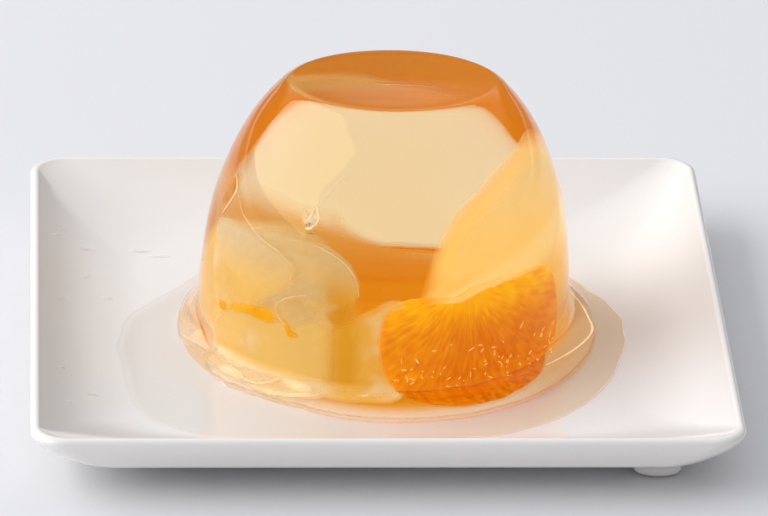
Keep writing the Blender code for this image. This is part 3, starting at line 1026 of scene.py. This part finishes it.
def build_lip_pieces():
    """Lay torn, wet bits of jelly along the lip at the front left, with painted highlights on its folds and
    streaks.
    """
    shader = wet_chip_and_highlight()
    thin = painted_edge_highlight()
    for name, outline in LIP_PIECES.items():
        pillow(name, outline, on_lip(-0.1), 0.3, 0.3, shader, "jelly", power=2.0, rough=0.08, lumps=0.1)
    for lines, radius, paint in ((LIP_HIGHLIGHTS, 0.26, shader), (LIP_STREAK_HIGHLIGHTS, 0.15, thin)):
        for name, points in lines.items():
            line = [on_lip(0.0)(u, v, 0.0) for u, v in smooth_line(points)]
            thread(name, [line], radius * MM, paint, "jelly")


def build_torn_spot():
    """Set the ragged knot, with painted highlights on its edges and painted shade in its pits, and the shard
    with a painted highlight along its edge, on the dome's front left.
    """
    shader = wet_chip_and_highlight()
    # painted highlights along the knot's ragged edges
    lines = [[wall_point(u, v * MM, 0.15 * MM) for u, v in smooth_line(points)] for points in KNOT_HIGHLIGHTS]
    lines = [[place + noise.noise_vector(place * 800) * 0.35 * MM for place in line] for line in lines]
    thread("torn_knot", lines, 0.24 * MM, shader, "jelly")
    tone = plain_tone((1.0, 0.76, 0.45), (0.74, 0.46, 0.19), 900.0)
    torn = flesh("torn_flesh", tone, 0.3, 0.6, (0.4, 1.0, 0.15))
    pillow("torn_flake", TORN_FLAKE, on_wall(0.5), 0.4, 0.3, torn, "jelly", power=2.0, rough=0.3, lumps=0.4)
    # painted shade: dark blobs in the knot's pits
    tone = plain_tone((0.60, 0.33, 0.10), (0.50, 0.26, 0.07), 900.0)
    painted_shade = flesh("torn_pit_shade", tone, 0.3, 0.5, (0.5, 1.0, 0.1))
    pit_shades = [(wall_point(u, v * MM, 0.1 * MM), size) for u, v, *size in TORN_PIT_SHADES]
    join_blobs("torn_pit_shades", pit_shades, painted_shade, "jelly")
    tone = plain_tone((0.90, 0.31, 0.0), (0.62, 0.20, 0.0), 400.0)
    peel = flesh("shard_flesh", tone, 0.28, 0.58, (0.9, 0.4, 0.0))
    pillow("mandarin_shard", SHARD, on_wall(0.9), 0.4, 0.6, peel, "mandarin", lumps=0.1)
    # painted highlight along the shard's upper edge
    outline = [wall_point(u, v * MM, 0.2 * MM) for u, v in smooth_line(SHARD[:6])]
    thread("shard_outline", [outline], 0.24 * MM, shader, "jelly")


def build_edge_lines():
    """Draw the painted highlight lines where set pieces end, and along the cracks."""
    shader = painted_edge_highlight()
    for name, (depth, points) in EDGE_HIGHLIGHTS.items():
        line = [wall_point(u, v * MM, depth * MM) for u, v in smooth_line(points)]
        thread(name, [line], 0.13 * MM, shader, "jelly")


def build_puddle_highlight():
    """Draw the painted highlight along the wet edge of the puddle at the right."""
    line = []
    for step in range(61):
        angle = math.radians(mix(-75.0, 50.0, step / 60))
        line.append(plate_point(angle, puddle_radius(angle) - 0.15 * MM, 0.12 * MM))
    thread("puddle_highlight_line", [line], 0.15 * MM, painted_wet_edge_highlight(), "syrup")


# Drops on the plate's inner wall: x, y in mm from the plate's middle, length, width, turn in degrees
DROPS = (
    (-74.0, 39.6, 5.0, 1.0, 60.0), (-72.3, 45.3, 3.0, 0.9, 70.0), (-67.1, 40.0, 6.0, 1.1, 30.0),
    (-66.8, 24.3, 6.0, 0.9, 65.0), (-73.2, 4.3, 5.5, 1.0, 60.0), (-62.1, 15.8, 2.6, 1.6, 20.0),
    (-54.0, 45.2, 7.0, 1.6, 5.0), (-49.5, 42.4, 7.0, 1.3, 0.0), (-72.8, -33.0, 3.0, 1.0, 60.0),
    (-66.0, -40.0, 4.0, 1.4, 20.0), (-71.5, -50.0, 2.6, 1.2, 50.0),
)


def on_plate(x, y, yaw):
    """Return a place function for a piece lying on the plate (mm), turned by some degrees."""
    turn = Matrix.Rotation(math.radians(yaw), 2)

    def place(u, v, w):
        flat = turn @ Vector((u, v)) * MM + Vector((x, y)) * MM
        return Vector((flat.x, flat.y, well_height(flat.x, flat.y) + w * MM))
    return place


def build_drops():
    """Lay small smeared drops of syrup on the plate."""
    shade = Shade("syrup_drop").set(Base_Color=(0.9, 0.87, 0.84), Specular_IOR_Level=0.3)
    shade.set(Roughness=shade.range(shade.noise(200.0), 0.2, 0.4))
    shade.clear_rim(0.1, 1.0, 0.45)
    sides = 9
    for number, (x, y, length, width, yaw) in enumerate(DROPS):
        outline = []
        for step in range(sides):
            angle = 2 * math.pi * step / sides
            reach = 0.5 * (1 + 0.3 * noise.noise(Vector((step * 1.3, number * 2.3, 7.5))))
            outline.append((length * reach * math.cos(angle), width * reach * math.sin(angle)))
        pillow(f"syrup_drop_{number}", outline, on_plate(x, y, yaw), 0.35, 0.1, shade.material, "syrup",
               power=2.0, rough=0.0, lumps=0.0)


def build_foot_pad():
    """Add the small pad that stands out under the plate's front right corner."""
    middle = Vector((61 * MM, -64.8 * MM, 1.75 * MM))
    turn = Matrix.Rotation(math.radians(-3.0), 3, "Z")
    sides = 10
    turns = [2 * math.pi * step / sides for step in range(sides)]
    outline = [(5.4 * math.cos(angle), 3.0 * math.sin(angle)) for angle in turns]

    def place(u, v, w):
        return middle + turn @ Vector((u, v, w)) * MM
    pillow("foot_pad", outline, place, 1.7, 1.7, porcelain(), "porcelain", power=2.6, rough=0.0, lumps=0.0)


# ---- studio
def set_camera():
    """Stand a long-lens camera in front of the plate, a little to its left."""
    azimuth, elevation, roll = (math.radians(angle) for angle in CAMERA_ANGLES)
    level = math.cos(elevation)
    back = Vector((math.sin(azimuth) * level, -math.cos(azimuth) * level, math.sin(elevation)))
    right = (-back).cross(Vector((0, 0, 1))).normalized()
    up = right.cross(-back)
    across = math.cos(roll) * right + math.sin(roll) * up
    upward = -math.sin(roll) * right + math.cos(roll) * up
    camera = bpy.data.objects.new("camera", bpy.data.cameras.new("camera"))
    camera.data.lens = CAMERA_LENS
    camera.data.sensor_width = 36.0
    camera.data.clip_end = 20.0
    turn = Matrix((across, upward, back)).transposed().to_4x4()
    camera.matrix_world = Matrix.Translation(CAMERA_TARGET + CAMERA_DISTANCE * back) @ turn
    bpy.context.scene.collection.objects.link(camera)
    bpy.context.scene.camera = camera


def set_floor():
    """Lay the plain pale floor, which gets dark well behind the plate at both sides: painted shade."""
    shape = bmesh.new()
    bmesh.ops.create_grid(shape, x_segments=1, y_segments=1, size=4.0)
    shade = Shade("studio_floor").set(Roughness=0.5)
    # painted shade: two soft dark patches on the floor well behind the plate
    nearness = []
    for side in (-1, 1):
        away = shade.vector("DISTANCE", shade.place, (side * 0.55, 0.62, 0.0), output=1)
        nearness.append(shade.span(away, 0.52, 0.30))
    painted_shade = shade.math("MAXIMUM", *nearness)
    shade.set(Base_Color=shade.blend(painted_shade, (0.77, 0.77, 0.79), (0.16, 0.16, 0.17)))
    link("studio_floor", shape, shade.material, smooth=False)


def set_room():
    """Surround the scene with a room: bright overhead, plain in front, and dim low down behind."""
    world = bpy.data.worlds.new("studio")
    bpy.context.scene.world = world
    world.use_nodes = True
    graph = Graph(world.node_tree)
    background = graph.nodes["Background"]
    graph.fill(background.inputs["Color"], (0.96, 0.97, 1.0))
    direction = graph.add("TexCoord").outputs["Generated"]
    _, y, z = graph.add("SeparateXYZ", Vector=direction).outputs
    behind = graph.span(z, 0.17, 0.32, DIM_LIGHT, CEILING_LIGHT)
    level = graph.span(y, -0.2, 0.5, ROOM_LIGHT, behind)
    graph.fill(background.inputs["Strength"], graph.span(z, 0.55, 0.95, level, CEILING_LIGHT))


def hang_window(name, strength, tone):
    """Hang a large soft window at the left, turned to the plate, and return its lamp."""
    light = bpy.data.lights.new(name, "AREA")
    light.shape = "RECTANGLE"
    light.size, light.size_y = WINDOW_SIZE
    light.energy = math.pi * light.size * light.size_y * strength
    light.color = tone
    lamp = bpy.data.objects.new(name, light)
    bpy.context.scene.collection.objects.link(lamp)
    lamp.location = WINDOW_PLACE
    lamp.rotation_euler = (WINDOW_AIM - lamp.location).to_track_quat("-Z", "Y").to_euler()
    return lamp


def set_window(jelly):
    """Hang the window, and a second one in its place that only shows in what the jelly mirrors."""
    hang_window("window", WINDOW_LIGHT, WINDOW_TONE)
    gleam = hang_window("window_gleam", GLEAM_LIGHT, GLEAM_TONE)
    gleam.visible_diffuse = False
    gleam.visible_transmission = False
    mirrors = bpy.data.collections.new("window_mirrors")
    mirrors.objects.link(jelly)
    gleam.light_linking.receiver_collection = mirrors


set_camera()
set_floor()
set_room()
bpy.context.scene.view_settings.view_transform = "Standard"
build_plate()
set_window(build_jelly())
build_deep_layer()
build_syrup()
build_fruit()
build_painted_glints()
build_lip_pieces()
build_torn_spot()
build_edge_lines()
build_puddle_highlight()
build_drops()
build_foot_pad()
